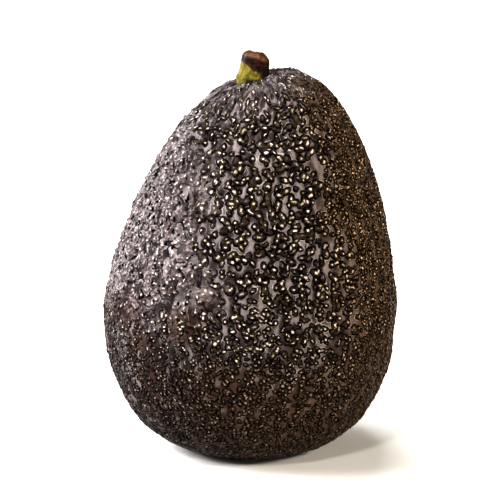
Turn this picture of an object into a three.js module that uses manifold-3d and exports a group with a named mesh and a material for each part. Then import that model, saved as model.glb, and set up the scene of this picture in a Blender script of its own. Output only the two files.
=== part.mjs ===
// A whole ripe avocado that stands on its blunt end, with the short stub of its stem on top.
// Millimetres, +Z up. The origin is the middle of the small flat spot that the fruit stands on,
// +X points to the side that the neck leans to, and -Y to the side seen from the front.
//
// The fruit grew as one piece, so it is one solid: an egg-shaped outline carried round the
// axis, bent at the neck and made uneven, with the pebbles of the skin raised from it. The stem
// stub is the second piece. Its root stands in a socket in the hollow at the top of the fruit.

import * as THREE from "three";
import { mergeVertices } from "three/addons/utils/BufferGeometryUtils.js";
import Module from "manifold-3d";

const wasm = await Module();
wasm.setup();

// Driving dimensions of the fruit
const crownHeight = 96.7;
const bellyRadius = 36.25;
const bellyHeight = 36;
const depthShare = 0.97;
const flatSpotRadius = 11;

// How far the outline runs straight on from its turning points before it bends
const crownBreadth = 24.5;
const shoulderFullness = 9.8;
const bellyFullness = 22.5;
const heelBreadth = 14;

// The neck leans to +X, more and more towards the crown
const neckLean = 6.3;
const neckLeanPower = 1.4;

// Slow waves that make the outline uneven
const waveHeight = 0.45;

// Pebbles of the skin, in a lattice of points that is fine enough to hold their shape
const latticeSteps = 23;
const pebbleCount = 620;
const pebbleHeight = 1.5;
const leastPebbleShare = 0.45;
const pebbleHeightSpread = 0.75;
const pebbleRadius = 3.5;
const pebbleRadiusSpread = 0.5;
const pebbleNudge = 0.035;
const longestPebble = 1.7;
const smoothEndSpread = 7;
const skinSeed = 11;

// Stem stub, and the hollow that it stands in
const stemDirection = new THREE.Vector3(-0.13, 0.01, 1);
const stemHollowDepth = 2.2;
const stemHollowSpread = 6;
const stemHeight = 7.3;
const stemRootDepth = 3.6;
const stemRootRadius = 3.3;
const stemFootRadius = 4.3;
const stemWaistRadius = 3.5;
const stemEndRadius = 3.7;
const stemTilt = THREE.MathUtils.degToRad(4);
const stemSides = 28;
const socketGap = 0.3;

const skinMaterial = new THREE.MeshStandardMaterial({ color: 0x2f2421, roughness: 0.5, metalness: 0 });
const stemMaterial = new THREE.MeshStandardMaterial({ color: 0x7a5a24, roughness: 0.75, metalness: 0 });

// Repeatable random numbers from 0 to 1
function seededRandom(seed) {
  let state = seed;
  return () => {
    state = (state + 0x6d2b79f5) | 0;
    let mixed = Math.imul(state ^ (state >>> 15), 1 | state);
    mixed = (mixed + Math.imul(mixed ^ (mixed >>> 7), 61 | mixed)) ^ mixed;
    return ((mixed ^ (mixed >>> 14)) >>> 0) / 4294967296;
  };
}

// A direction of random numbers, from -1 to 1 each way
function randomVector(random) {
  return new THREE.Vector3(random(), random(), random()).multiplyScalar(2).subScalar(1);
}

// Half outline as (radius, height), from the crown over the belly to the middle of the flat spot
function makeOutline() {
  const crown = new THREE.Vector2(0, crownHeight);
  const belly = new THREE.Vector2(bellyRadius, bellyHeight);
  const spotEdge = new THREE.Vector2(flatSpotRadius, 0);
  const path = new THREE.CurvePath();
  path.add(new THREE.CubicBezierCurve(
    crown,
    new THREE.Vector2(crownBreadth, crownHeight),
    new THREE.Vector2(bellyRadius, bellyHeight + shoulderFullness),
    belly,
  ));
  path.add(new THREE.CubicBezierCurve(
    belly,
    new THREE.Vector2(bellyRadius, bellyHeight - bellyFullness),
    new THREE.Vector2(flatSpotRadius + heelBreadth, 0),
    spotEdge,
  ));
  path.add(new THREE.LineCurve(spotEdge, new THREE.Vector2(0, 0)));
  return path;
}

const outline = makeOutline();

// Slow, uneven waves over the fruit, from -1 to 1
function slowWaves({ x, y, z }) {
  return (
    0.6 * Math.sin(3.1 * x + 1.3 * y + 0.4) * Math.cos(2.3 * z - 1.7 * y) +
    0.4 * Math.sin(5.3 * y - 3.7 * z + 2.1) * Math.cos(4.1 * x + 0.9)
  );
}

// Where a direction from the fruit's middle meets the skin, raised there by the relief given.
// The angle from the top becomes the distance along the outline. The flat spot stays flat.
function bodyPoint(direction, relief = 0) {
  const share = Math.acos(THREE.MathUtils.clamp(direction.z, -1, 1)) / Math.PI;
  const around = Math.atan2(direction.y, direction.x);
  const place = outline.getPoint(share);
  const along = outline.getTangent(share);
  const aboveSpot = THREE.MathUtils.smoothstep(place.y, 0, smoothEndSpread);
  const rise = (relief + waveHeight * slowWaves(direction)) * aboveSpot;
  const radius = place.x - along.y * rise;
  const height = place.y + along.x * rise;
  const upNeck = THREE.MathUtils.clamp((height - bellyHeight) / (crownHeight - bellyHeight), 0, 1);
  return new THREE.Vector3(
    Math.cos(around) * radius + neckLean * upNeck ** neckLeanPower,
    Math.sin(around) * radius * depthShare,
    height,
  );
}

const stemPlace = bodyPoint(stemDirection.normalize());

// The body with the hollow round the stem pressed into it
function skinPoint(direction, relief) {
  const point = bodyPoint(direction, relief);
  const fromStem = Math.hypot(point.x - stemPlace.x, point.y - stemPlace.y) / stemHollowSpread;
  const onTop = direction.z > 0 ? 1 : 0;
  point.z -= onTop * stemHollowDepth * Math.exp(-fromStem * fromStem);
  return point;
}

// Pebbles on a spiral over the fruit, nudged at random. Each is a low dome, longer one way,
// and near the stem the long way runs down from it.
function pebbleSeeds(random) {
  const goldenAngle = Math.PI * (3 - Math.sqrt(5));
  return Array.from({ length: pebbleCount }, (_, k) => {
    const up = 1 - (2 * k + 1) / pebbleCount;
    const ring = Math.sqrt(1 - up * up);
    const turn = k * goldenAngle;
    const direction = new THREE.Vector3(ring * Math.cos(turn), ring * Math.sin(turn), up)
      .addScaledVector(randomVector(random), pebbleNudge)
      .normalize();
    const centre = bodyPoint(direction);
    const down = centre.clone().sub(stemPlace).normalize();
    const nearStem = THREE.MathUtils.smoothstep(direction.z, 0.6, 0.95);
    return {
      centre,
      grain: randomVector(random).lerp(down, nearStem).normalize(),
      shortening: 1 - 1 / (1 + (longestPebble - 1) * random()) ** 2,
      height: pebbleHeight * (leastPebbleShare + pebbleHeightSpread * random()),
      radius: pebbleRadius * (1 + pebbleRadiusSpread * (random() - 0.5)),
    };
  });
}

// How far the pebbles raise the skin at a point: the highest dome there counts
function pebbleRelief(point, seeds) {
  let relief = 0;
  for (const { centre, grain, shortening, height, radius } of seeds) {
    const x = point.x - centre.x;
    const y = point.y - centre.y;
    const z = point.z - centre.z;
    const lengthwise = x * grain.x + y * grain.y + z * grain.z;
    const near = (x * x + y * y + z * z - shortening * lengthwise * lengthwise) / (radius * radius);
    if (near < 1) relief = Math.max(relief, height * (1 - near));
  }
  return relief;
}

// Points spread evenly over a ball: each face of an icosahedron holds a triangular lattice
function ballLattice(steps) {
  const corners = new THREE.IcosahedronGeometry(1, 0).getAttribute("position");
  const points = [];
  for (let face = 0; face < corners.count; face += 3) {
    const [a, b, c] = [0, 1, 2].map((k) => new THREE.Vector3().fromBufferAttribute(corners, face + k));
    const pointAt = (i, j) => new THREE.Vector3()
      .addScaledVector(a, steps - i - j)
      .addScaledVector(b, i)
      .addScaledVector(c, j)
      .normalize();
    for (let i = 0; i < steps; i += 1) {
      for (let j = 0; j < steps - i; j += 1) {
        points.push(pointAt(i, j), pointAt(i + 1, j), pointAt(i, j + 1));
        if (i + j < steps - 1) {
          points.push(pointAt(i + 1, j), pointAt(i + 1, j + 1), pointAt(i, j + 1));
        }
      }
    }
  }
  return mergeVertices(new THREE.BufferGeometry().setFromPoints(points));
}

// The whole fruit with its pebbles, before the socket is cut
function pebbledBody() {
  const seeds = pebbleSeeds(seededRandom(skinSeed));
  const geometry = ballLattice(latticeSteps);
  const position = geometry.getAttribute("position");
  const direction = new THREE.Vector3();
  for (let k = 0; k < position.count; k += 1) {
    direction.fromBufferAttribute(position, k);
    const relief = pebbleRelief(bodyPoint(direction), seeds);
    position.setXYZ(k, ...skinPoint(direction, relief));
  }
  return geometry;
}

// The turned stub, standing on its foot and grown all round by the gap given. Its sides are
// pressed in unevenly, and its cut end is slightly hollow.
function stemGeometry(gap = 0) {
  const outlineOfStem = [
    [0, -stemRootDepth - gap],
    [stemRootRadius + gap, -stemRootDepth - gap],
    [stemFootRadius * 0.97 + gap, -1.2],
    [stemFootRadius + gap, 0.5],
    [stemFootRadius * 0.93 + gap, 2],
    [stemWaistRadius + gap, 3.5],
    [stemWaistRadius * 1.01 + gap, 4.3],
    [stemEndRadius + gap, 5.3],
    [stemEndRadius * 0.97 + gap, stemHeight - 0.7],
    [stemEndRadius * 0.84 + gap, stemHeight - 0.1],
    [stemEndRadius * 0.6, stemHeight],
    [0, stemHeight - 0.4],
  ].map(([radius, height]) => new THREE.Vector2(radius, height));
  const geometry = new THREE.LatheGeometry(outlineOfStem, stemSides).rotateX(Math.PI / 2);
  const position = geometry.getAttribute("position");
  for (let k = 0; k < position.count; k += 1) {
    const [x, y, z] = [position.getX(k), position.getY(k), position.getZ(k)];
    const around = Math.atan2(y, x);
    const aboveFoot = THREE.MathUtils.smoothstep(z, 0.5, 2);
    const swell = 1 + aboveFoot * (0.05 * Math.sin(3 * around + 0.6) + 0.03 * Math.sin(7 * around + z));
    position.setXY(k, x * swell, y * swell);
  }
  return geometry;
}

// Sets an object of the stem where it grows out of the hollow
function placeStem(object) {
  object.position.copy(skinPoint(stemDirection, 0));
  object.rotation.y = stemTilt;
  object.updateMatrix();
  return object;
}

// A geometry as a solid that can be cut
function solidOf(geometry) {
  const bare = geometry.clone();
  bare.deleteAttribute("normal");
  bare.deleteAttribute("uv");
  const merged = mergeVertices(bare);
  return new wasm.Manifold(new wasm.Mesh({
    numProp: 3,
    vertProperties: merged.getAttribute("position").array,
    triVerts: new Uint32Array(merged.index.array),
  }));
}

function geometryOf(solid) {
  const { vertProperties, triVerts } = solid.getMesh();
  const geometry = new THREE.BufferGeometry();
  geometry.setAttribute("position", new THREE.BufferAttribute(vertProperties, 3));
  geometry.setIndex(new THREE.BufferAttribute(triVerts, 1));
  geometry.computeVertexNormals();
  return geometry;
}

function makeFruit() {
  const socket = stemGeometry(socketGap).applyMatrix4(placeStem(new THREE.Object3D()).matrix);
  const solid = solidOf(pebbledBody()).subtract(solidOf(socket));
  const mesh = new THREE.Mesh(geometryOf(solid), skinMaterial);
  mesh.name = "fruit";
  return mesh;
}

function makeStem() {
  const mesh = placeStem(new THREE.Mesh(stemGeometry(), stemMaterial));
  mesh.name = "stem";
  return mesh;
}

const avocado = new THREE.Group();
avocado.add(makeFruit(), makeStem());

export default avocado;
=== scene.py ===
"""A whole ripe avocado: dark pebbled skin and a corky stem stub, on a pale studio floor.

The fruit stands on its blunt end. Lengths are millimetres until a mesh is made, and then metres.
+Z is up, -Y is towards the camera, and the neck leans to +X. Main sizes come from the frame.
"""

import logging
import math
from dataclasses import dataclass, field, fields
from enum import Enum
from itertools import product

import bpy
import numpy as np
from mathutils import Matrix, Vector


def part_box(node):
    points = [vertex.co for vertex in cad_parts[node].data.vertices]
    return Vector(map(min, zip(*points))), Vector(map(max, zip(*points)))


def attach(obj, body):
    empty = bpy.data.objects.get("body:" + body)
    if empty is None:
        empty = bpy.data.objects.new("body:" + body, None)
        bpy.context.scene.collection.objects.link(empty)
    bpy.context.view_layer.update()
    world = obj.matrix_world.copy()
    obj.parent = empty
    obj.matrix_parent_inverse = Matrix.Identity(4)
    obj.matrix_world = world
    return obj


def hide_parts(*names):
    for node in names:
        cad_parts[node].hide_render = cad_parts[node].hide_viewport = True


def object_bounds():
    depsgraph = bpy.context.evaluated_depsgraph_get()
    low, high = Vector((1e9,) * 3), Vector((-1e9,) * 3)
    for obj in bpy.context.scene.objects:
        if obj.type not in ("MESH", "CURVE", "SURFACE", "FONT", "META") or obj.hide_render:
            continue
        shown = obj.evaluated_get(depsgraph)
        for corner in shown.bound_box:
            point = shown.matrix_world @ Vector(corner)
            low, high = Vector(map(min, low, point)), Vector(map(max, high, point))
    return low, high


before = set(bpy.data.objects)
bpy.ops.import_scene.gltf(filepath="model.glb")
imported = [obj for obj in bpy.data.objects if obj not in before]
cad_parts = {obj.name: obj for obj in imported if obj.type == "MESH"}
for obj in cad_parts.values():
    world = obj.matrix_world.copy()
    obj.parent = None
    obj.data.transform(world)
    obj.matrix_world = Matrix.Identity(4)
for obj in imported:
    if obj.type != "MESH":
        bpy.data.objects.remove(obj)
CAD_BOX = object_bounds()

Array = np.ndarray
Colour = tuple[float, float, float]
Span = tuple[float, float]
Socket = bpy.types.NodeSocket
METRES = 0.001
LOG = logging.getLogger("avocado")


def smoothstep(values: Array, low: float | Array, high: float | Array) -> Array:
    """Rise smoothly from 0 at low to 1 at high, by 3 t squared minus 2 t cubed.

    Args:
        values: Numbers to map.
        low: Where the step starts. It may be above high, and then the step falls.
        high: Where the step ends.

    Returns:
        Shares from 0 to 1, one for each value.
    """
    share = np.clip((values - low) / (high - low), 0, 1)
    return share * share * (3 - 2 * share)


def unit(vectors: Array) -> Array:
    """Scale vectors, along the last axis, to length 1."""
    return vectors / np.linalg.norm(vectors, axis=-1, keepdims=True)


def blotches(points: Array, size: float, seed: int) -> Array:
    """Smooth random numbers from 0 to 1 over space.

    Each corner of a cubic lattice has a random number. A point gets the mean of its cell's eight
    corners, weighted by the smooth step of its place along each side of the cell.

    Args:
        points: Places, as rows of x, y and z.
        size: Side of a cell of the lattice.
        seed: Which set of random numbers to use.

    Returns:
        One number for each point.
    """
    numbers = np.random.default_rng(seed).random(4096)
    cells = np.floor(points / size).astype(np.int64)
    weights = smoothstep(points / size - cells, 0, 1)
    total = np.zeros(len(points))
    for corner in product((0, 1), repeat=3):
        key = (cells + corner) @ np.array([73856093, 19349663, 83492791]) % len(numbers)
        total += numbers[key] * np.prod(np.where(corner, weights, 1 - weights), axis=1)
    return total


def ball_grid(steps: int) -> tuple[Array, Array]:
    """Spread points over a ball of radius 1 as six square grids, welded along their edges.

    On each side of a cube, u and v run from -45 to 45 degrees. A point of the grid is
    (tan u, tan v, 1), turned to that side of the cube and scaled to length 1.

    Args:
        steps: Cells along each side of a grid.

    Returns:
        The points, and the four corners of each face, turned outwards.
    """
    tangent = np.tan(np.linspace(-math.pi / 4, math.pi / 4, steps + 1))
    u, v = np.meshgrid(tangent, tangent, indexing="ij")
    side = np.stack([u, v, np.ones_like(u)], axis=-1).reshape(-1, 3)
    index = np.arange(len(side)).reshape(steps + 1, steps + 1)
    corners = [index[:-1, :-1], index[1:, :-1], index[1:, 1:], index[:-1, 1:]]
    faces = np.stack([corner.ravel() for corner in corners], axis=1)
    points, quads = [], []
    for turn in range(3):
        points += [np.roll(side, turn, axis=1), -np.roll(side, turn, axis=1)]
        quads += [faces + 2 * turn * len(side), faces[:, ::-1] + (2 * turn + 1) * len(side)]
    spread = unit(np.concatenate(points))
    _, first, place = np.unique(
        np.round(spread, 6) + 0.0, axis=0, return_index=True, return_inverse=True
    )
    return spread[first], place.ravel()[np.concatenate(quads)]


def spiral(count: int, nudge: float, random: np.random.Generator) -> Array:
    """Spread directions evenly over a ball on a spiral, and nudge each at random.

    The height falls by the same step from one to the next, and the turn is the golden angle.

    Args:
        count: How many directions.
        nudge: The largest nudge each way, as a share of the mean spacing.
        random: Source of the nudges.

    Returns:
        Rows of length 1.
    """
    k = np.arange(count)
    height = 1 - (2 * k + 1) / count
    turn = k * math.pi * (3 - math.sqrt(5))
    ring = np.sqrt(1 - height * height)
    exact = np.stack([ring * np.cos(turn), ring * np.sin(turn), height], axis=1)
    spacing = math.sqrt(4 * math.pi / count)
    return unit(exact + nudge * spacing * random.uniform(-1, 1, (count, 3)))


def nearest(points: Array, seeds: Array, count: int, block: int = 2048) -> Array:
    """Find the seeds that are nearest to each point.

    The squared distance is that of the seed from the origin, less twice the dot product of seed
    and point, but for a number that is the same for every seed and is left out.

    Args:
        points: Places, as rows of x, y and z.
        seeds: Places of the seeds.
        count: How many seeds to find for each point.
        block: How many points are worked out at once, which bounds the memory.

    Returns:
        Indices of the seeds, nearest first, a row for each point.
    """
    index = np.empty((len(points), count), dtype=np.int64)
    sites = seeds.astype(np.float32)
    length = (sites * sites).sum(axis=1)
    for start in range(0, len(points), block):
        rows = points[start:start + block].astype(np.float32)
        near = length - 2 * rows @ sites.T
        found = np.argpartition(near, count, axis=1)[:, :count]
        apart = np.linalg.norm(points[start:start + block, None] - seeds[found], axis=2)
        order = np.argsort(apart, axis=1)
        index[start:start + block] = np.take_along_axis(found, order, axis=1)
    return index


def make_piece(
    name: str,
    points: Array,
    quads: Array,
    masks: dict[str, Array] | None = None,
    face_vectors: dict[str, Array] | None = None,
) -> bpy.types.Object:
    """Make a smooth-shaded mesh object at the origin.

    Args:
        name: Name of the piece.
        points: Places in millimetres.
        quads: Corners of each face.
        masks: Numbers for each point, kept as named attributes for the finish.
        face_vectors: Vectors for each face, kept in the same way.

    Returns:
        The new object, linked to the scene.
    """
    mesh = bpy.data.meshes.new(name)
    mesh.from_pydata(points * METRES, [], quads)
    mesh.shade_smooth()
    for label, values in (masks or {}).items():
        mesh.attributes.new(label, "FLOAT", "POINT").data.foreach_set("value", values.astype(np.float32))
    for label, values in (face_vectors or {}).items():
        made = mesh.attributes.new(label, "FLOAT_VECTOR", "FACE")
        made.data.foreach_set("vector", values.astype(np.float32).ravel())
    piece = bpy.data.objects.new(name, mesh)
    bpy.context.scene.collection.objects.link(piece)
    return piece


@dataclass
class Outline:
    """A half outline of cubic curves, by the share of its length from the top.

    Attributes:
        curves: Four control points (radius, height) for each cubic curve, from the top down.
        samples: Points worked out on each curve.
    """

    curves: list[list[tuple[float, float]]]
    samples: int = 400

    def __post_init__(self) -> None:
        """Work out points on the curves, their share of the length, and the way they run."""
        t = np.linspace(0, 1, self.samples)[:, None]
        weights = np.hstack([(1 - t) ** 3, 3 * (1 - t) ** 2 * t, 3 * (1 - t) * t**2, t**3])
        self.path = np.concatenate([weights @ np.array(curve) for curve in self.curves])
        steps = np.linalg.norm(np.diff(self.path, axis=0), axis=1)
        self.share = np.concatenate([[0], np.cumsum(steps)]) / steps.sum()
        keep = np.concatenate([[True], steps > 0])
        self.path, self.share = self.path[keep], self.share[keep]
        self.along = unit(np.gradient(self.path, self.share, axis=0))

    def place(self, share: Array) -> tuple[Array, Array]:
        """Find the radius and height at a share of the length."""
        return tuple(np.interp(share, self.share, self.path[:, k]) for k in range(2))

    def outwards(self, share: Array) -> tuple[Array, Array]:
        """Find the way out of the outline: its direction turned by a quarter."""
        right, up = (np.interp(share, self.share, self.along[:, k]) for k in range(2))
        return -up, right


@dataclass
class FruitBody:
    """The egg-shaped body under the pebbles, in millimetres.

    Attributes:
        crown_height: Height of the outline at its top.
        belly_radius: Radius where the outline is widest.
    """

    crown_height: float
    belly_radius: float
    belly_height: float = 36
    depth_share: float = 0.97
    flat_spot_radius: float = 11
    crown_breadth: float = 24.5
    shoulder_fullness: float = 9.8
    belly_fullness: float = 22.5
    heel_breadth: float = 14
    neck_lean: float = 6.3
    neck_lean_power: float = 1.4
    wave_height: float = 0.45
    smooth_end_spread: float = 7
    hollow_depth: float = 2.2
    hollow_spread: float = 6
    stem_direction: tuple[float, float, float] = (-0.13, 0.01, 1)

    def __post_init__(self) -> None:
        """Lay out the outline, and find where the stem stands on it."""
        belly = (self.belly_radius, self.belly_height)
        spot_edge = (self.flat_spot_radius, 0)
        self.outline = Outline([
            [
                (0, self.crown_height),
                (self.crown_breadth, self.crown_height),
                (self.belly_radius, self.belly_height + self.shoulder_fullness),
                belly,
            ],
            [
                belly,
                (self.belly_radius, self.belly_height - self.belly_fullness),
                (self.flat_spot_radius + self.heel_breadth, 0),
                spot_edge,
            ],
            [spot_edge, (self.flat_spot_radius * 2 / 3, 0), (self.flat_spot_radius / 3, 0), (0, 0)],
        ])
        self.stem_place = np.zeros(3)
        self.stem_place = self.place(unit(np.array([self.stem_direction])), hollow=False)[0]

    @staticmethod
    def waves(directions: Array) -> Array:
        """Slow waves from -1 to 1: two products of sines of a direction's x, y and z."""
        x, y, z = directions.T
        return (
            0.6 * np.sin(3.1 * x + 1.3 * y + 0.4) * np.cos(2.3 * z - 1.7 * y)
            + 0.4 * np.sin(5.3 * y - 3.7 * z + 2.1) * np.cos(4.1 * x + 0.9)
        )

    def place(self, directions: Array, relief: Array | float = 0, hollow: bool = True) -> Array:
        """Find where directions from the fruit's middle meet the skin.

        The angle from the top, as a share of a half turn, is the share of the outline's length.
        The relief and the slow waves push out along the outline's normal, but not at the flat
        spot. Above the belly the body is moved to +X by a power of the height, and a bell-shaped
        hollow round the stem is pressed down.

        Args:
            directions: Rows of length 1.
            relief: How far the skin is raised there.
            hollow: Whether the hollow round the stem is pressed in.

        Returns:
            Places in millimetres.
        """
        share = np.arccos(np.clip(directions[:, 2], -1, 1)) / math.pi
        around = np.arctan2(directions[:, 1], directions[:, 0])
        radius, height = self.outline.place(share)
        out, up = self.outline.outwards(share)
        above_spot = smoothstep(height, 0, self.smooth_end_spread)
        rise = (relief + self.wave_height * self.waves(directions)) * above_spot
        radius, height = radius + out * rise, height + up * rise
        up_neck = np.clip((height - self.belly_height) / (self.crown_height - self.belly_height), 0, 1)
        x = np.cos(around) * radius + self.neck_lean * up_neck**self.neck_lean_power
        y = np.sin(around) * radius * self.depth_share
        if hollow:
            from_stem = np.hypot(x - self.stem_place[0], y - self.stem_place[1]) / self.hollow_spread
            height = height - self.hollow_depth * np.exp(-from_stem**2) * (directions[:, 2] > 0)
        return np.stack([x, y, height], axis=1)

    def outwards(self, directions: Array, step: float = 0.001) -> Array:
        """Find the way out of the skin, as the cross product of two small steps along it.

        Args:
            directions: Rows of length 1, from the fruit's middle.
            step: Size of a step, in radians.

        Returns:
            Rows of length 1.
        """
        side = unit(np.cross(directions, unit(np.array([0.3, 0.5, 0.8]))))
        here = self.place(directions)
        steps = [
            self.place(unit(directions + step * way)) - here
            for way in (side, np.cross(directions, side))
        ]
        return unit(np.cross(*steps))


class Grade(Enum):
    """How coarse the pebbles are. Each value is the least fineness that has that grade."""

    COARSE = 0.0
    MIDDLE = 0.3
    FINE = 0.7


@dataclass(frozen=True)
class PebbleKind:
    """Sizes of a grade of pebbles, in millimetres: mean spacing, radius and height."""

    spacing: float
    radius: float
    height: float


PEBBLE_KINDS = {
    Grade.COARSE: PebbleKind(spacing=2.35, radius=0.92, height=0.95),
    Grade.MIDDLE: PebbleKind(spacing=1.85, radius=0.74, height=0.75),
    Grade.FINE: PebbleKind(spacing=1.4, radius=0.58, height=0.45),
}
DOME_POWER = 0.8
KEPT_NEAR = 3


@dataclass
class Pebbles:
    """Oval pebbles scattered over a body. Each row is one pebble.

    Attributes:
        centre: Where each stands, in millimetres.
        along: Its longer way on the skin, with length 1 over the radius that way.
        across: Its shorter way, with length 1 over the radius that way.
        height: How far its top is raised.
        tint: A random number from 0 to 1 for its colour.
    """

    centre: Array
    along: Array
    across: Array
    height: Array
    tint: Array

    def nearness(self, points: Array, index: Array) -> Array:
        """Distance from each point to some pebbles, in their own radii, along and across each."""
        offset = points[:, None] - self.centre[index]
        parts = [(offset * way[index]).sum(axis=2) for way in (self.along, self.across)]
        return np.hypot(*parts)

    def relief(self, near: Array, index: Array) -> Array:
        """Raise a dome on each pebble: its height times a power of 1 - nearness squared."""
        domes = self.height[index] * np.clip(1 - near**2, 0, 1) ** DOME_POWER
        return domes.max(axis=1)

    def face_vectors(self, middles: Array, index: Array) -> dict[str, Array]:
        """List the pebbles nearest to each face, for the finish to work out distances itself.

        Args:
            middles: The middle of each face.
            index: Pebbles to choose from, a row for each face.

        Returns:
            For each of the nearest pebbles its place and two ways in metres, and their tints.
        """
        order = np.argsort(self.nearness(middles, index), axis=1)[:, :KEPT_NEAR]
        chosen = np.take_along_axis(index, order, axis=1)
        vectors = {"tints": self.tint[chosen]}
        for k, pebble in enumerate(chosen.T):
            vectors[f"centre_{k}"] = self.centre[pebble] * METRES
            vectors[f"along_{k}"] = self.along[pebble] / METRES
            vectors[f"across_{k}"] = self.across[pebble] / METRES
        return vectors


@dataclass(frozen=True)
class SkinPattern:
    """Sockets that the skin's colours are mixed by.

    Attributes:
        near: Distance from the nearest pebble's centre, in its radii.
        rough_near: The same, roughened by fine noise.
        tint: That pebble's random number.
        mottle: Noise in blotches.
        streaks: Noise drawn out down the fruit.
        highlight_share: 1 on most of the skin, and less near the floor, where it dims painted glints and
            sheen.
        past_moat: 1 outside the moats.
        rim: 1 on the rims outside the moats.
        tip_and_glint_share: Share of light tip, partly a painted glint.
        brown: Share of brown skin.
        ruddy: Share of ruddy skin.
    """

    near: Socket
    rough_near: Socket
    tint: Socket
    mottle: Socket
    streaks: Socket
    highlight_share: Socket
    past_moat: Socket
    rim: Socket
    tip_and_glint_share: Socket
    brown: Socket
    ruddy: Socket


@dataclass(frozen=True)
class SkinFinish:
    """Colours and gloss of the skin, from the moats round the pebbles to their tips.

    A span is where a share starts to rise and where it is full. An edge is in radii from a
    pebble's centre, and tints, mottle, streaks and specks are levels of those numbers. Sizes of
    noise are features for each metre, and depths and heights are metres.

    Some colours are painted light. The moats and the pale skin's pits hold painted shade, the
    rims hold painted sheen, the light tips are partly painted glints, and the pale bloomed skin
    is partly painted sheen.
    """

    # Painted shade: the near-black colour of the moats round the pebbles.
    moat_shade: Colour = (0.0008, 0.0005, 0.0004)
    pebble: Colour = (0.0260, 0.0190, 0.0160)
    olive_pebble: Colour = (0.0340, 0.0275, 0.0170)
    brown_pebble: Colour = (0.0460, 0.0280, 0.0160)
    bare: Colour = (0.024, 0.0182, 0.0170)
    pale_bare: Colour = (0.110, 0.0950, 0.0960)
    brown_bare: Colour = (0.0490, 0.0300, 0.0190)
    ruddy_bare: Colour = (0.026, 0.0130, 0.0115)
    # Painted sheen on the rims outside the moats, on dark, brown and ruddy skin. The ruddy one also
    # tints the pale skin's painted sheen.
    rim: Colour = (0.220, 0.195, 0.192)
    brown_rim: Colour = (0.200, 0.142, 0.094)
    ruddy_sheen: Colour = (0.140, 0.082, 0.072)
    # Light tips of the pebbles: partly their own pale colour, partly painted glints. The olive and ruddy
    # ones are tinted.
    tip_and_glint: Colour = (0.47, 0.425, 0.37)
    brown_tip: Colour = (0.48, 0.350, 0.23)
    ruddy_tip: Colour = (0.26, 0.125, 0.080)
    olive_tip: Colour = (0.26, 0.235, 0.130)
    # Pale bloomed skin that is partly painted sheen, and its darker mottled tone.
    bloom_and_sheen: Colour = (0.190, 0.166, 0.170)
    bloom_and_sheen_mottled: Colour = (0.105, 0.086, 0.088)
    bloom_tip_and_glint: Colour = (0.40, 0.370, 0.370)
    # Painted shade in the pits of the pale skin.
    bloom_pit_shade: Colour = (0.0012, 0.0008, 0.0009)
    moat_edge: Span = (0.98, 1.10)
    rim_edge: Span = (0.85, 0.60)
    pebble_edge: Span = (0.82, 0.58)
    tip_edge: Span = (0.34, 0.12)
    pit_edge: Span = (0.98, 1.16)
    pitted_from: Span = (0.2, 0.5)
    tipped_tints: Span = (0.05, 0.7)
    olive_tints: Span = (0.88, 0.92)
    ruddy_tints: Span = (0.55, 0.45)
    olive_mottle: Span = (0.45, 0.62)
    bloom_and_sheen_mottle: Span = (0.40, 0.60)
    bare_streaks: Span = (0.52, 0.68)
    rim_streaks: Span = (0.47, 0.62)
    ruddy_streaks: Span = (0.62, 0.42)
    pit_specks: Span = (0.43, 0.36)
    bloom_and_sheen_spread: Span = (0.10, 0.90)
    highlight_heights: Span = (0.042, 0.020)
    low_contrast: float = 0.45
    ridge_painted_light: float = 0.16
    ruddy_bloom_share: float = 0.6
    gloss: float = 0.06
    pebble_roughness: float = 0.2
    bare_roughness: float = 0.45
    dome_depth: float = 0.0012
    rim_bump: float = 0.6
    warp_density: float = 650
    warp: float = 0.0009
    mottle_size: float = 300
    streak_size: float = 420
    streak_squash: float = 0.35
    speck_size: float = 1300
    speck_reach: float = 1.3
    pit_size: float = 760
    pit_squash: float = 0.6
    grain_size: float = 1300
    grain_depth: float = 0.00015

    def make(self) -> bpy.types.Material:
        """Build the material.

        The dark skin and the pale skin, partly bloomed and partly painted sheen, are coloured apart.
        The bloom_and_sheen mask, broken up by the mottle, says which of them shows. The pebbles'
        domes and rims are bumped as well.
        """
        sheet = NodeSheet("pebbled_skin")
        pattern = self.pattern(sheet)
        uneven = sheet.math("SUBTRACT", pattern.mottle, 0.5)
        # Where the pale skin, partly bloomed and partly painted sheen, shows.
        bloom_and_sheen = sheet.ramp(sheet.math("ADD", sheet.mask("bloom_and_sheen"), uneven), *self.bloom_and_sheen_spread)
        dark, pale = self.dark_skin(sheet, pattern), self.pale_skin(sheet, pattern)
        sheet.set("Base Color", sheet.mix(bloom_and_sheen, dark, pale))
        roughness = sheet.blend(pattern.past_moat, self.pebble_roughness, self.bare_roughness)
        sheet.set("Roughness", roughness)
        sheet.set("Specular IOR Level", self.gloss)
        ring = sheet.times(sheet.times(pattern.rim, self.rim_bump), sheet.blend(bloom_and_sheen, 1.0, 0.0))
        dome = sheet.ramp(pattern.near, 1.0, 0.0)
        sheet.bump(sheet.math("MAXIMUM", dome, ring), self.dome_depth)
        sheet.bump(sheet.noise(scale=self.grain_size, detail=4), self.grain_depth)
        return sheet.material

    def pattern(self, sheet: "NodeSheet") -> SkinPattern:
        """Lay out the noises, and the distance to the nearest pebble with what follows from it.

        Args:
            sheet: The material's nodes.

        Returns:
            The sockets that the colours are mixed by.
        """
        near, tint = self.nearest_pebble(sheet)
        mottle = sheet.noise(scale=self.mottle_size, detail=3)
        speckle = sheet.math("SUBTRACT", sheet.noise(scale=self.speck_size, detail=2), 0.5)
        rough_near = sheet.math("ADD", near, sheet.times(speckle, self.speck_reach))
        past_moat = sheet.ramp(near, *self.moat_edge)
        inside_rim = sheet.ramp(sheet.math("SUBTRACT", near, mottle), *self.rim_edge)
        height = sheet.parts(sheet.object_place)[2]
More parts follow.
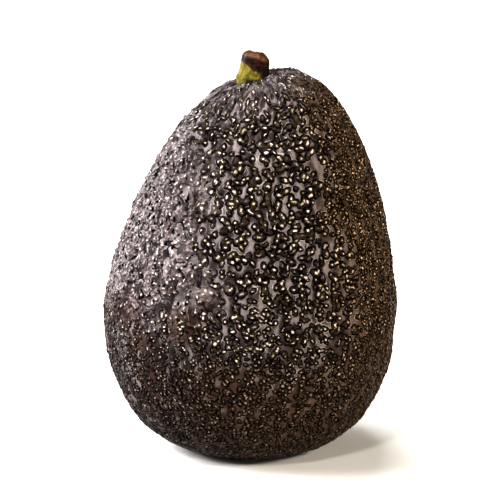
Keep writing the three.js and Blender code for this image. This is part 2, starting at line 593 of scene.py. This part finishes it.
        # Darker towards the floor: the light tips, painted glints and the rims' painted sheen are dimmed
        # there.
        highlight_share = sheet.blend(sheet.ramp(height, *self.highlight_heights), 1.0, self.low_contrast)
        # Where the light tips and painted glints show.
        tip_and_glint_share = sheet.times(
            sheet.ramp(rough_near, *self.tip_edge), sheet.ramp(tint, *self.tipped_tints)
        )
        return SkinPattern(
            near=near,
            rough_near=rough_near,
            tint=tint,
            mottle=mottle,
            streaks=sheet.noise(scale=self.streak_size, detail=2, squash=self.streak_squash),
            highlight_share=highlight_share,
            past_moat=past_moat,
            rim=sheet.times(past_moat, inside_rim),
            tip_and_glint_share=sheet.times(tip_and_glint_share, highlight_share),
            brown=sheet.mask("brown"),
            ruddy=sheet.mask("ruddy"),
        )

    def dark_skin(self, sheet: "NodeSheet", pattern: SkinPattern) -> Socket:
        """Colour the dark skin.

        From a pebble's centre outwards it has a light tip that is partly a painted glint, the
        pebble, a moat of painted shade, a rim with painted sheen in streaks, and bare skin that is
        lighter on the ridges, as painted light. The brown and ruddy masks turn each of these
        towards brown and red.

        Args:
            sheet: The material's nodes.
            pattern: The sockets to mix by.

        Returns:
            The colour.
        """
        brown, ruddy = pattern.brown, pattern.ruddy
        olive = sheet.ramp(pattern.mottle, *self.olive_mottle)
        pebble = sheet.mix(brown, sheet.mix(olive, self.pebble, self.olive_pebble), self.brown_pebble)
        # Painted light: the bare skin is lighter on the raised ridges between the chains.
        ridges = sheet.times(sheet.mask("ridge"), self.ridge_painted_light)
        between = sheet.math("ADD", pattern.streaks, ridges)
        bare = sheet.mix(sheet.ramp(between, *self.bare_streaks), self.bare, self.pale_bare)
        bare = sheet.mix(brown, bare, self.brown_bare)
        reddened = sheet.times(ruddy, sheet.ramp(pattern.streaks, *self.ruddy_streaks))
        bare = sheet.mix(reddened, bare, self.ruddy_bare)
        rim = sheet.mix(ruddy, sheet.mix(brown, self.rim, self.brown_rim), self.ruddy_sheen)
        # The tips' colour: partly their own, partly painted glints.
        tip_and_glint = sheet.mix(brown, self.tip_and_glint, self.brown_tip)
        tip_and_glint = sheet.mix(sheet.ramp(pattern.tint, *self.olive_tints), tip_and_glint, self.olive_tip)
        ruddy_tips = sheet.times(sheet.ramp(pattern.tint, *self.ruddy_tints), ruddy)
        tip_and_glint = sheet.mix(ruddy_tips, tip_and_glint, self.ruddy_tip)
        # Painted shade fills the moats between each pebble and its rim.
        colour = sheet.mix(sheet.ramp(pattern.rough_near, *self.pebble_edge), self.moat_shade, pebble)
        colour = sheet.mix(pattern.tip_and_glint_share, colour, tip_and_glint)
        colour = sheet.mix(pattern.past_moat, colour, bare)
        # The rims take their painted sheen in streaks, dimmed near the floor.
        streaky = sheet.ramp(between, *self.rim_streaks)
        return sheet.mix(sheet.times(sheet.times(pattern.rim, pattern.highlight_share), streaky), colour, rim)

    def pale_skin(self, sheet: "NodeSheet", pattern: SkinPattern) -> Socket:
        """Colour the pale skin, partly bloomed and partly painted sheen: pale pebbles with lighter
        tips that are partly painted glints, and painted shade in pits between them.

        Args:
            sheet: The material's nodes.
            pattern: The sockets to mix by.

        Returns:
            The colour.
        """
        mottled = sheet.ramp(pattern.mottle, *self.bloom_and_sheen_mottle)
        colour = sheet.mix(mottled, self.bloom_and_sheen_mottled, self.bloom_and_sheen)
        reddened = sheet.times(pattern.ruddy, self.ruddy_bloom_share)
        colour = sheet.mix(reddened, colour, self.ruddy_sheen)
        colour = sheet.mix(pattern.tip_and_glint_share, colour, self.bloom_tip_and_glint)
        # Painted shade: near-black pits in the gaps between pebbles and in noise specks, not on the
        # pebbles' middles.
        specks = sheet.noise(scale=self.pit_size, detail=1, squash=self.pit_squash)
        pit_shade = sheet.math(
            "MAXIMUM",
            sheet.ramp(pattern.rough_near, *self.pit_edge),
            sheet.ramp(specks, *self.pit_specks),
        )
        pit_shade = sheet.times(pit_shade, sheet.ramp(pattern.near, *self.pitted_from))
        return sheet.mix(pit_shade, colour, self.bloom_pit_shade)

    def nearest_pebble(self, sheet: "NodeSheet") -> tuple[Socket, Socket]:
        """Work out the distance to the nearest of the pebbles that a face keeps.

        A distance in radii is the root of the squares of the offset along the pebble and the
        offset across it. Each pebble in turn replaces the one kept so far if it is nearer. The
        place is first moved a little by noise, so that no pebble is a perfect oval.

        Args:
            sheet: The material's nodes.

        Returns:
            The least distance, and the tint of that pebble.
        """
        near, tint = None, None
        place = sheet.warped(self.warp_density, self.warp)
        for k, own_tint in enumerate(sheet.parts(sheet.vector("tints"))):
            offset = sheet.vectors("SUBTRACT", place, sheet.vector(f"centre_{k}"))
            along = sheet.vectors("DOT_PRODUCT", offset, sheet.vector(f"along_{k}"))
            across = sheet.vectors("DOT_PRODUCT", offset, sheet.vector(f"across_{k}"))
            squares = sheet.math("ADD", sheet.times(along, along), sheet.times(across, across))
            distance = sheet.math("POWER", squares, 0.5)
            if near is None:
                near, tint = distance, own_tint
                continue
            tint = sheet.blend(sheet.math("LESS_THAN", distance, near), tint, own_tint)
            near = sheet.math("MINIMUM", distance, near)
        return near, tint


@dataclass(frozen=True)
class StemFinish:
    """Colours of the stem stub: cut end, bark, yellow-green foot, and its dark parts: blotches of
    dark bark and painted shade round the foot.
    """

    cut: Colour = (0.070, 0.037, 0.0186)
    bark: Colour = (0.024, 0.0070, 0.0034)
    # Dark for the bark's blotches, and also the painted shade round the foot.
    dark: Colour = (0.003, 0.0011, 0.0007)
    green: Colour = (0.046, 0.037, 0.0013)
    pale: Colour = (0.100, 0.086, 0.014)
    bark_spread: Span = (0.35, 0.65)
    blotch_spread: Span = (0.38, 0.62)
    gloss: float = 0.1
    roughness: float = 0.62
    blotch_size: float = 650
    grain_size: float = 1100
    grain_depth: float = 0.0003

    def make(self) -> bpy.types.Material:
        """Build the material.

        Coarse noise gives bark with dark blotches. The cut mask lays the end over it, the green
        mask the foot, and the shade mask painted shade low round the foot. Fine noise gives the
        corky grain.
        """
        sheet = NodeSheet("corky_stem")
        coarse = sheet.noise(scale=self.blotch_size, detail=4)
        blotched = sheet.ramp(coarse, *self.blotch_spread)
        end = sheet.mix(blotched, self.bark, self.cut)
        foot = sheet.mix(blotched, self.green, self.pale)
        colour = sheet.mix(sheet.ramp(coarse, *self.bark_spread), self.dark, self.bark)
        colour = sheet.mix(sheet.mask("cut"), colour, end)
        colour = sheet.mix(sheet.mask("green"), colour, foot)
        # Painted shade low round the foot, where the stub sits in its hollow.
        colour = sheet.mix(sheet.mask("shade"), colour, self.dark)
        sheet.set("Base Color", colour)
        sheet.set("Roughness", self.roughness)
        sheet.set("Specular IOR Level", self.gloss)
        sheet.bump(sheet.noise(scale=self.grain_size, detail=5), self.grain_depth)
        return sheet.material


@dataclass(frozen=True)
class FloorFinish:
    """Colour of the pale floor, with a faint mottle."""

    colour: Colour = (0.43, 0.43, 0.425)
    mottled: Colour = (0.415, 0.415, 0.41)
    mottle_size: float = 3
    roughness: float = 0.7

    def make(self) -> bpy.types.Material:
        """Build the material: two near colours mixed by slow noise."""
        sheet = NodeSheet("pale_floor")
        mottle = sheet.noise(scale=self.mottle_size, detail=2)
        sheet.set("Base Color", sheet.mix(mottle, self.colour, self.mottled))
        sheet.set("Roughness", self.roughness)
        return sheet.material


class NodeSheet:
    """A material's nodes, joined by short calls. Patterns read Object coordinates."""

    def __init__(self, name: str) -> None:
        """Start a material with one surface shader."""
        self.material = bpy.data.materials.new(name)
        self.material.use_nodes = True
        self.tree = self.material.node_tree
        self.shader = self.tree.nodes["Principled BSDF"]
        self.object_place = self.tree.nodes.new("ShaderNodeTexCoord").outputs["Object"]

    def feed(self, socket: Socket, value: object) -> None:
        """Link a socket to another one, or set it to a number or colour."""
        if isinstance(value, Socket):
            self.tree.links.new(value, socket)
        elif isinstance(value, tuple):
            socket.default_value = (*value, 1)[:len(socket.default_value)]
        else:
            socket.default_value = value

    def set(self, name: str, value: object) -> None:
        """Set or link a socket of the surface shader."""
        self.feed(self.shader.inputs[name], value)

    def mask(self, name: str) -> Socket:
        """Read one of the piece's named attributes."""
        node = self.tree.nodes.new("ShaderNodeAttribute")
        node.attribute_name = name
        return node.outputs["Fac"]

    def vector(self, name: str) -> Socket:
        """Read one of the piece's named vectors."""
        node = self.tree.nodes.new("ShaderNodeAttribute")
        node.attribute_name = name
        return node.outputs["Vector"]

    def parts(self, vector: Socket) -> list[Socket]:
        """Split a vector into its three numbers."""
        node = self.tree.nodes.new("ShaderNodeSeparateXYZ")
        self.feed(node.inputs[0], vector)
        return list(node.outputs)

    def vectors(self, operation: str, a: object, b: object) -> Socket:
        """Work out a vector, or for a dot product a number, from two vectors."""
        node = self.tree.nodes.new("ShaderNodeVectorMath")
        node.operation = operation
        self.feed(node.inputs[0], a)
        self.feed(node.inputs[1], b)
        return node.outputs["Value" if operation == "DOT_PRODUCT" else "Vector"]

    def warped(self, density: float, reach: float) -> Socket:
        """Move Object coordinates by noise.

        Args:
            density: Features of the noise for each metre.
            reach: How far a full step of the noise moves them, in metres.

        Returns:
            The moved coordinates.
        """
        node = self.tree.nodes.new("ShaderNodeTexNoise")
        self.feed(node.inputs["Vector"], self.object_place)
        self.feed(node.inputs["Scale"], density)
        centred = self.vectors("SUBTRACT", node.outputs["Color"], (0.5, 0.5, 0.5))
        return self.vectors("ADD", self.object_place, self.vectors("MULTIPLY", centred, (reach,) * 3))

    def noise(self, scale: float, detail: float, squash: float = 1) -> Socket:
        """Add noise over Object coordinates.

        Args:
            scale: Features for each metre.
            detail: How many finer layers are added.
            squash: Share of the scale that counts upwards. Below 1 it draws features out.

        Returns:
            Numbers round 0.5.
        """
        node = self.tree.nodes.new("ShaderNodeTexNoise")
        place = self.vectors("MULTIPLY", self.object_place, (1.0, 1.0, squash))
        self.feed(node.inputs["Vector"], place)
        self.feed(node.inputs["Scale"], scale)
        self.feed(node.inputs["Detail"], detail)
        return node.outputs["Fac"]

    def ramp(self, value: Socket, low: float, high: float) -> Socket:
        """Map low to 0 and high to 1 smoothly, and hold the ends."""
        node = self.tree.nodes.new("ShaderNodeMapRange")
        node.interpolation_type = "SMOOTHSTEP"
        self.feed(node.inputs["Value"], value)
        flip = low > high
        self.feed(node.inputs["From Min"], min(low, high))
        self.feed(node.inputs["From Max"], max(low, high))
        self.feed(node.inputs["To Min"], 1.0 if flip else 0.0)
        self.feed(node.inputs["To Max"], 0.0 if flip else 1.0)
        return node.outputs["Result"]

    def math(self, operation: str, a: object, b: object) -> Socket:
        """Work out one number from two."""
        node = self.tree.nodes.new("ShaderNodeMath")
        node.operation = operation
        self.feed(node.inputs[0], a)
        self.feed(node.inputs[1], b)
        return node.outputs[0]

    def times(self, a: object, b: object) -> Socket:
        """Multiply two numbers."""
        return self.math("MULTIPLY", a, b)

    def mix(self, share: object, a: object, b: object) -> Socket:
        """Mix two colours: a where the share is 0, b where it is 1."""
        node = self.tree.nodes.new("ShaderNodeMix")
        node.data_type = "RGBA"
        self.feed(node.inputs["Factor"], share)
        self.feed(node.inputs[6], a)
        self.feed(node.inputs[7], b)
        return node.outputs[2]

    def blend(self, share: object, a: float, b: float) -> Socket:
        """Blend two numbers: a where the share is 0, b where it is 1."""
        node = self.tree.nodes.new("ShaderNodeMapRange")
        self.feed(node.inputs["Value"], share)
        self.feed(node.inputs["To Min"], a)
        self.feed(node.inputs["To Max"], b)
        return node.outputs["Result"]

    def bump(self, height: Socket, depth: float) -> None:
        """Roughen the surface by a height from 0 to 1 times a depth in metres, on top of before."""
        node = self.tree.nodes.new("ShaderNodeBump")
        self.feed(node.inputs["Height"], height)
        self.feed(node.inputs["Distance"], depth)
        normal = self.shader.inputs["Normal"]
        if normal.links:
            self.tree.links.new(normal.links[0].from_socket, node.inputs["Normal"])
        self.tree.links.new(node.outputs["Normal"], normal)


@dataclass
class PebbledSkin:
    """The whole outside of the fruit, in place of its plain solid.

    Lengths are millimetres. A span is where a share starts to rise and where it is full. Rims are
    laid out in radii from a pebble's centre.

    Attributes:
        body: The shape that the pebbles stand on.
        steps: Cells along each of the ball's six grids.
        nudge: The largest nudge of a pebble, as a share of their spacing.
        grade_mixing: How far the grades run into one another.
        chains: How many chains of pebbles run down the fruit.
        chain_pull: How strongly the pebbles crowd on them, below 1.
        stray_share: Share of fine pebbles that stand among the others.
        neighbours: How many pebbles may shape a point of the skin.
        radial_reach: How far from the stem the pebbles start to be drawn out.
        radial_full: How near the stem they are drawn out most.
    """

    body: FruitBody
    steps: int = 127
    nudge: float = 0.42
    grade_mixing: float = 0.16
    chains: int = 50
    chain_pull: float = 0.6
    stray_share: float = 0.14
    neighbours: int = 9
    radial_reach: float = 30
    radial_full: float = 8
    radial_narrowing: float = 0.42
    radial_stretch: float = 1.6
    radial_lowering: float = 0.35
    random_stretch: float = 0.7
    radius_shares: Span = (0.75, 1.2)
    height_shares: Span = (0.5, 1.15)
    rim_height: float = 0.5
    rim_start: Span = (0.95, 1.25)
    rim_fall: Span = (1.4, 1.8)
    ridge_height: float = 0.4
    ridges_above: Span = (16, 52)
    swell_height: float = 0.8
    swell_size: float = 4.5
    swell_squash: float = 0.6
    brown_from: Span = (4, 20)
    brown_below: Span = (38, 20)
    brown_low_from: Span = (-30, 0)
    brown_low_share: float = 0.7
    middling_from: Span = (-16, -24)
    fine_below: Span = (50, 32)
    ruddy_below: Span = (52, 38)
    ruddy_from: Span = (4, -12)
    ruddy_blots: Span = (0.3, 0.6)
    # Where the pale skin lies, partly bloomed and partly painted sheen.
    bloom_and_sheen_from: Span = (-2, -25)
    bloom_and_sheen_above: Span = (18, 62)
    bloom_and_sheen_front: Span = (18, -10)
    bloom_and_sheen_behind: float = 0.35
    bloom_share_at_stem: float = 0.4
    seed: int = 21
    finish: SkinFinish = field(default_factory=SkinFinish)

    def uneven(self, values: Array, points: Array, reach: float, size: float, draw: int) -> Array:
        """Shift numbers by blotches, by half the reach at most, so that no edge is straight."""
        return values + reach * (blotches(points, size, self.seed + draw) - 0.5)

    def brown_mask(self, points: Array) -> Array:
        """Share of brown skin: 0 on the left of the fruit, 1 on the right, and some low down."""
        x, y, z = points.T
        right = self.uneven(x + 0.35 * y, points, reach=9, size=11, draw=0)
        low = smoothstep(self.uneven(z, points, reach=8, size=9, draw=5), *self.brown_below)
        low = self.brown_low_share * low * smoothstep(x, *self.brown_low_from)
        return np.maximum(smoothstep(right, *self.brown_from), low)

    def fineness(self, points: Array) -> Array:
        """How fine the pebbles are, from 0 to 1: fine on brown skin and low, middling far left."""
        x, _, z = points.T
        left = smoothstep(self.uneven(x, points, reach=6, size=9, draw=6), *self.middling_from)
        low = smoothstep(self.uneven(z, points, reach=14, size=9, draw=6), *self.fine_below)
        return np.maximum.reduce([self.brown_mask(points), 0.5 * left, 0.85 * low])

    def ruddy_mask(self, points: Array) -> Array:
        """Share of ruddy skin: low on the left side of the belly, in blotches."""
        low = smoothstep(points[:, 2], *self.ruddy_below) * smoothstep(points[:, 0], *self.ruddy_from)
        return low * smoothstep(blotches(points, 8, self.seed + 1), *self.ruddy_blots)

    def bloom_and_sheen_mask(self, points: Array) -> Array:
        """Share of pale bloomed skin and painted sheen: most high on the left and in front, and some
        round the stem.
        """
        x, y, z = points.T
        left = smoothstep(self.uneven(x, points, reach=9, size=12, draw=8), *self.bloom_and_sheen_from)
        high = smoothstep(self.uneven(z, points, reach=10, size=12, draw=12), *self.bloom_and_sheen_above)
        behind = self.bloom_and_sheen_behind
        front = behind + (1 - behind) * smoothstep(y, *self.bloom_and_sheen_front)
        from_stem = np.linalg.norm(points - self.body.stem_place, axis=1)
        at_stem = smoothstep(from_stem, 0.8 * self.radial_reach, self.radial_full)
        return np.maximum(left * high * front, self.bloom_share_at_stem * at_stem)

    def ridge_mask(self, directions: Array, points: Array) -> Array:
        """Share of ridge: 1 midway between two chains, 0 on a chain, and less low down."""
        between = 0.5 + 0.5 * np.cos(self.chain_phase(directions))
        return between * smoothstep(points[:, 2], *self.ridges_above)

    def count(self, spacing: float) -> int:
        """How many evenly spread seeds have that mean spacing on the fruit."""
        area = 4 * math.pi * self.body.belly_radius * self.body.crown_height / 2
        return round(area / (spacing**2 * math.sqrt(3) / 2))

    def pebbles(self) -> Pebbles:
        """Scatter pebbles of each grade where the fineness is within it, and stray fine ones."""
        random = np.random.default_rng(self.seed + 10)
        limits = [grade.value for grade in Grade] + [math.inf]
        parts = []
        for (grade, kind), limit in zip(PEBBLE_KINDS.items(), limits[1:]):
            directions = self.gather(spiral(self.count(kind.spacing), self.nudge, random))
            fineness = self.fineness(self.body.place(directions))
            fineness = np.maximum(fineness + self.grade_mixing * random.uniform(-1, 1, len(fineness)), 0)
            keep = (fineness >= grade.value) & (fineness < limit)
            if grade is Grade.FINE:
                keep |= random.random(len(keep)) < self.stray_share
            parts.append(self.grow(directions[keep], kind, random))
        joined = {
            column.name: np.concatenate([getattr(part, column.name) for part in parts])
            for column in fields(Pebbles)
        }
        return Pebbles(**joined)

    def chain_phase(self, directions: Array) -> Array:
        """Angle round the fruit times the number of chains, with slow sines that make them wavy.

        Args:
            directions: Rows of length 1.

        Returns:
            Radians: an even number of half turns midway between chains, an odd one on a chain.
        """
        x, y, z = directions.T
        wave = 1.6 * np.sin(9 * z + 2 * x) + 1.1 * np.sin(21 * z - 3 * y + 1)
        return self.chains * np.arctan2(y, x) + wave

    def gather(self, directions: Array) -> Array:
        """Pull directions towards chains that run down the fruit.

        Each is turned about the fruit's axis by the sine of its phase, so that they crowd there.

        Args:
            directions: Rows of length 1.

        Returns:
            Rows of length 1.
        """
        x, y, z = directions.T
        pull = self.chain_pull / self.chains * np.sin(self.chain_phase(directions))
        around, ring = np.arctan2(y, x) + pull, np.hypot(x, y)
        return np.stack([ring * np.cos(around), ring * np.sin(around), z], axis=1)

    def grow(self, directions: Array, kind: PebbleKind, random: np.random.Generator) -> Pebbles:
        """Give pebbles their sizes: drawn out and narrow near the stem, and rounder elsewhere.

        Args:
            directions: Where they stand, as rows of length 1.
            kind: Their grade's sizes.
            random: Source of the differences between them.

        Returns:
            The pebbles.
        """
        count = len(directions)
        centre, outwards = self.body.place(directions), self.body.outwards(directions)
        away = centre - self.body.stem_place
        radial = smoothstep(np.linalg.norm(away, axis=1), self.radial_reach, self.radial_full)
        grain = random.normal(size=(count, 3)) * (1 - radial[:, None]) + radial[:, None] * unit(away)
        across = unit(np.cross(outwards, grain))
        radius_share = random.uniform(*self.radius_shares, count)
        radius = kind.radius * (1 - self.radial_narrowing * radial) * radius_share
        stretch = 1 + self.random_stretch * random.random(count) + self.radial_stretch * radial
        height_share = random.uniform(*self.height_shares, count)
        return Pebbles(
            centre=centre,
            along=np.cross(across, outwards) / (radius * stretch)[:, None],
            across=across / radius[:, None],
            height=kind.height * (1 - self.radial_lowering * radial) * height_share,
            tint=random.random(count),
        )

    def relief(
        self, points: Array, pebbles: Pebbles, index: Array, masks: dict[str, Array]
    ) -> Array:
        """Work out how far the skin is raised.

        Each pebble is a dome, and a rim rises outside it, which falls by half further out. Rims
        are lower on brown skin and gone where the pale skin with painted sheen is full. Ridges
        between the chains and slow swells, drawn out down the fruit, are added to both.

        Args:
            points: Places on the body.
            pebbles: The pebbles.
            index: The pebbles near each point, a row for each.
            masks: The masks at each point, by name.

        Returns:
            Millimetres, one for each point.
        """
        near = pebbles.nearness(points, index)
        least = near.min(axis=1)
        rims = smoothstep(least, *self.rim_start) * (1 - 0.5 * smoothstep(least, *self.rim_fall))
        rims = self.rim_height * rims * (1 - 0.5 * masks["brown"]) * (1 - masks["bloom_and_sheen"])
        drawn_out = points * [1, 1, self.swell_squash]
        swells = blotches(drawn_out, self.swell_size, self.seed + 9) - 0.5
        raised = np.maximum(pebbles.relief(near, index), rims)
        return raised + self.ridge_height * (masks["ridge"] - 0.5) + self.swell_height * swells

    def build(self) -> bpy.types.Object:
        """Make the skin's mesh, dress it, and put it in place of the fruit's solid."""
        directions, quads = ball_grid(self.steps)
        bare = self.body.place(directions)
        pebbles = self.pebbles()
        index = nearest(bare, pebbles.centre, self.neighbours)
        masks = {
            "brown": self.brown_mask(bare),
            "ruddy": self.ruddy_mask(bare),
            "bloom_and_sheen": self.bloom_and_sheen_mask(bare),
            "ridge": self.ridge_mask(directions, bare),
        }
        relief = self.relief(bare, pebbles, index, masks)
        faces = pebbles.face_vectors(bare[quads].mean(axis=1), index[quads[:, 0]])
        piece = make_piece("avocado_skin", self.body.place(directions, relief), quads, masks, faces)
        piece.data.materials.append(self.finish.make())
        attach(piece, "root")
        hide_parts("fruit")
        LOG.info("%s: %d faces", piece.name, len(quads))
        return piece


@dataclass
class StemStub:
    """The short stub of the stalk, in place of its plain solid. Millimetres.

    Attributes:
        foot: Where its axis meets the skin.
        tilt: How far it leans to +X, in radians.
    """

    foot: Array
    tilt: float = math.radians(8)
    height: float = 7.2
    root_depth: float = 3.4
    end_radius: float = 3.6
    waist_radius: float = 3.45
    foot_radius: float = 4.2
    lump_height: float = 0.75
    fibre_height: float = 0.22
    grit_height: float = 0.22
    slope_drop: float = 0.9
    slope_side: Span = (1.2, 3.6)
    cut_above: Span = (6.0, 6.5)
    green_height: float = 2.5
    green_blur: float = 0.25
    steps: int = 44
    seed: int = 5
    finish: StemFinish = field(default_factory=StemFinish)

    def outline(self) -> Outline:
        """Lay out the stub's half outline: cut end, rounded edge, waist, flared foot and root."""
        top, rim = self.height, self.end_radius
        waist, foot, root = self.waist_radius, self.foot_radius, -self.root_depth
        return Outline([
            [(0, top), (rim * 0.5, top), (rim * 0.75, top), (rim * 0.9, top - 0.45)],
            [(rim * 0.9, top - 0.45), (rim, top - 1), (rim, top - 1.8), (waist, top - 3)],
            [(waist, top - 3), (waist, top - 4), (foot, 2.4), (foot, 1)],
            [(foot, 1), (foot, -0.5), (foot * 0.9, -2), (foot * 0.8, root)],
            [(foot * 0.8, root), (foot * 0.5, root), (foot * 0.3, root), (0, root)],
        ])

    def build(self) -> bpy.types.Object:
        """Make the stub's mesh, dress it, and put it in place of the stem's solid.

        The outline is carried round the axis by the same two angles as the fruit's. Lumps, fine
        fibres that run up and down, and a slope on the end's right-hand edge then move it.
        """
        directions, quads = ball_grid(self.steps)
        share = np.arccos(np.clip(directions[:, 2], -1, 1)) / math.pi
        around = np.arctan2(directions[:, 1], directions[:, 0])
        outline = self.outline()
        radius, height = outline.place(share)
        out, up = outline.outwards(share)
        ring = np.stack([np.cos(around), np.sin(around)], axis=1)
        flat = np.column_stack([ring * radius[:, None], height])
        above = smoothstep(height, -0.5, 1.5)
        lumps = blotches(flat, 1.9, self.seed) - 0.5
        fibres = blotches(np.column_stack([ring * 4, height / 6]), 0.45, self.seed + 1) - 0.5
        grit = blotches(flat, 0.55, self.seed + 2) - 0.5
        rise = above * (self.lump_height * lumps + self.fibre_height * fibres + self.grit_height * grit)
        radius, height = radius + out * rise, height + up * rise
        x, y = ring[:, 0] * radius, ring[:, 1] * radius
        slope = self.slope_drop * smoothstep(x, *self.slope_side)
        height = height - slope * smoothstep(height, 4, 7)
        standing = np.stack([x, y, height], axis=1)
        points = standing @ self.turn().T + self.foot
        piece = make_piece("stem_stub", points, quads, self.masks(standing, slope, lumps))
        piece.data.materials.append(self.finish.make())
        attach(piece, "root")
        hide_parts("stem")
        LOG.info("%s: %d faces", piece.name, len(quads))
        return piece

    def masks(self, points: Array, slope: Array, lumps: Array) -> dict[str, Array]:
        """Share out the stub between its colours, with edges that follow the lumps.

        Args:
            points: Places on the stub while it stands upright.
            slope: How far its end slopes down there.
            lumps: The lumps there.

        Returns:
            Shares of the cut end, of the yellow-green foot and of the painted shade round the foot.
        """
        x, y, height = points.T
        border = self.green_height + 0.8 * np.maximum(-0.5 - x, 0) + 1.2 * lumps - 0.2 * y
        below = smoothstep(height, border + self.green_blur, border - self.green_blur)
        return {
            "cut": smoothstep(height + slope + 0.8 * lumps, *self.cut_above),
            "green": below * smoothstep(x + lumps, 2.0, 1.0),
            # Painted shade: dark low on the stub, from its middle to its right, round the foot.
            "shade": 0.95 * smoothstep(height + 0.8 * lumps, 1.5, 0.7) * smoothstep(x, -2.8, -1.4),
        }

    def turn(self) -> Array:
        """Rotation about Y by the tilt, which leans +Z towards +X."""
        cosine, sine = math.cos(self.tilt), math.sin(self.tilt)
        return np.array([[cosine, 0, sine], [0, 1, 0], [-sine, 0, cosine]])


class Lamp(Enum):
    """What each studio light is for."""

    LEFT_WALL = "left_wall"
    BACK_LEFT = "back_left"
    FRONT_STRIP = "front_strip"
    LOW_STRIP = "low_strip"
    RIGHT_STRIP = "right_strip"
    TOP = "top"


@dataclass(frozen=True)
class LampSetting:
    """A flat lamp: where it hangs, its width and height in metres, its radiance and colour."""

    place: tuple[float, float, float]
    width: float
    height: float
    radiance: float
    colour: Colour = (1, 1, 1)

    @property
    def watts(self) -> float:
        """Power of a flat lamp: pi times its area times its radiance."""
        return math.pi * self.width * self.height * self.radiance


LAMPS = {
    Lamp.LEFT_WALL: LampSetting((-0.74, -0.12, 0.50), 0.42, 0.42, 40, (1.0, 0.97, 0.98)),
    Lamp.BACK_LEFT: LampSetting((-0.50, 0.52, 0.30), 0.5, 0.4, 9, (0.98, 0.96, 1.0)),
    Lamp.FRONT_STRIP: LampSetting((-0.28, -0.75, 0.62), 0.12, 0.12, 150, (1.0, 0.95, 0.87)),
    Lamp.LOW_STRIP: LampSetting((0.10, -0.90, 0.22), 0.07, 0.07, 120, (1.0, 0.93, 0.82)),
    Lamp.RIGHT_STRIP: LampSetting((0.60, -0.42, 0.40), 0.09, 0.15, 205, (1.0, 0.90, 0.77)),
    Lamp.TOP: LampSetting((0.0, 0.5, 1.6), 0.5, 0.5, 30),
}


@dataclass
class Studio:
    """The pale floor, the lamps, the surrounding light and the camera.

    Lengths are metres, but the sensor's width is millimetres. The elevation is degrees.

    Attributes:
        low: Lowest corner of the object.
        high: Highest corner of the object.
    """

    low: Vector
    high: Vector
    elevation: float = 15
    distance: float = 0.9
    frame_width: float = 0.125
    sensor: float = 36
    floor_side: float = 6
    surround: Colour = (1.0, 1.0, 1.0)
    surround_strength: float = 0.05
    contrast: str = "High Contrast"
    finish: FloorFinish = field(default_factory=FloorFinish)

    def build(self) -> None:
        """Set up everything round the object."""
        self.lay_floor()
        self.hang_lamps()
        self.light_surround()
        self.place_camera()
        bpy.context.scene.view_settings.view_transform = "Standard"
        bpy.context.scene.view_settings.look = self.contrast

    def lay_floor(self) -> None:
        """Lay a square floor under the object: one face with corners at plus and minus half a side."""
        half = self.floor_side / 2 / METRES
        corners = np.array([(-half, -half, 0), (half, -half, 0), (half, half, 0), (-half, half, 0)])
        floor = make_piece("floor", corners, np.array([[0, 1, 2, 3]]))
        floor.data.materials.append(self.finish.make())

    def hang_lamps(self) -> None:
        """Hang each lamp in its place, facing the object's middle."""
        middle = (self.low + self.high) / 2
        for lamp, setting in LAMPS.items():
            light = bpy.data.lights.new(lamp.value, "AREA")
            light.shape = "RECTANGLE"
            light.size, light.size_y = setting.width, setting.height
            light.energy, light.color = setting.watts, setting.colour
            self.aim(lamp.value, light, Vector(setting.place), middle)

    def light_surround(self) -> None:
        """Light the scene evenly from all round."""
        world = bpy.data.worlds.new("surround")
        world.use_nodes = True
        background = world.node_tree.nodes["Background"]
        background.inputs["Color"].default_value = (*self.surround, 1)
        background.inputs["Strength"].default_value = self.surround_strength
        bpy.context.scene.world = world

    def place_camera(self) -> None:
        """Aim the camera at the object's middle, from the front and a little above."""
        camera = bpy.data.cameras.new("camera")
        camera.sensor_width = self.sensor
        camera.lens = self.sensor * self.distance / self.frame_width
        middle = (self.low + self.high) / 2
        middle.x = 0
        up = math.radians(self.elevation)
        place = middle + self.distance * Vector((0, -math.cos(up), math.sin(up)))
        bpy.context.scene.camera = self.aim("camera", camera, place, middle)

    @staticmethod
    def aim(name: str, data: bpy.types.ID, place: Vector, target: Vector) -> bpy.types.Object:
        """Put a lamp or the camera in its place, facing a target.

        Args:
            name: Name of the new object.
            data: The lamp or camera.
            place: Where it hangs.
            target: What it faces.

        Returns:
            The new object, linked to the scene.
        """
        holder = bpy.data.objects.new(name, data)
        holder.location = place
        holder.rotation_euler = (target - holder.location).to_track_quat("-Z", "Y").to_euler()
        bpy.context.scene.collection.objects.link(holder)
        return holder


def main() -> None:
    """Build the fruit, its stem and the studio."""
    logging.basicConfig(level=logging.INFO, format="%(name)s: %(message)s")
    low, high = (np.array(corner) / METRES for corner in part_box("fruit"))
    pebble_allowance = 0.8
    wave_allowance = 0.1
    body = FruitBody(
        crown_height=high[2] - pebble_allowance / 2,
        belly_radius=(high[0] - low[0]) / 2 - pebble_allowance - wave_allowance,
    )
    PebbledSkin(body).build()
    StemStub(body.stem_place - [0, 0, body.hollow_depth]).build()
    Studio(*CAD_BOX).build()


if __name__ == "__main__":
    main()
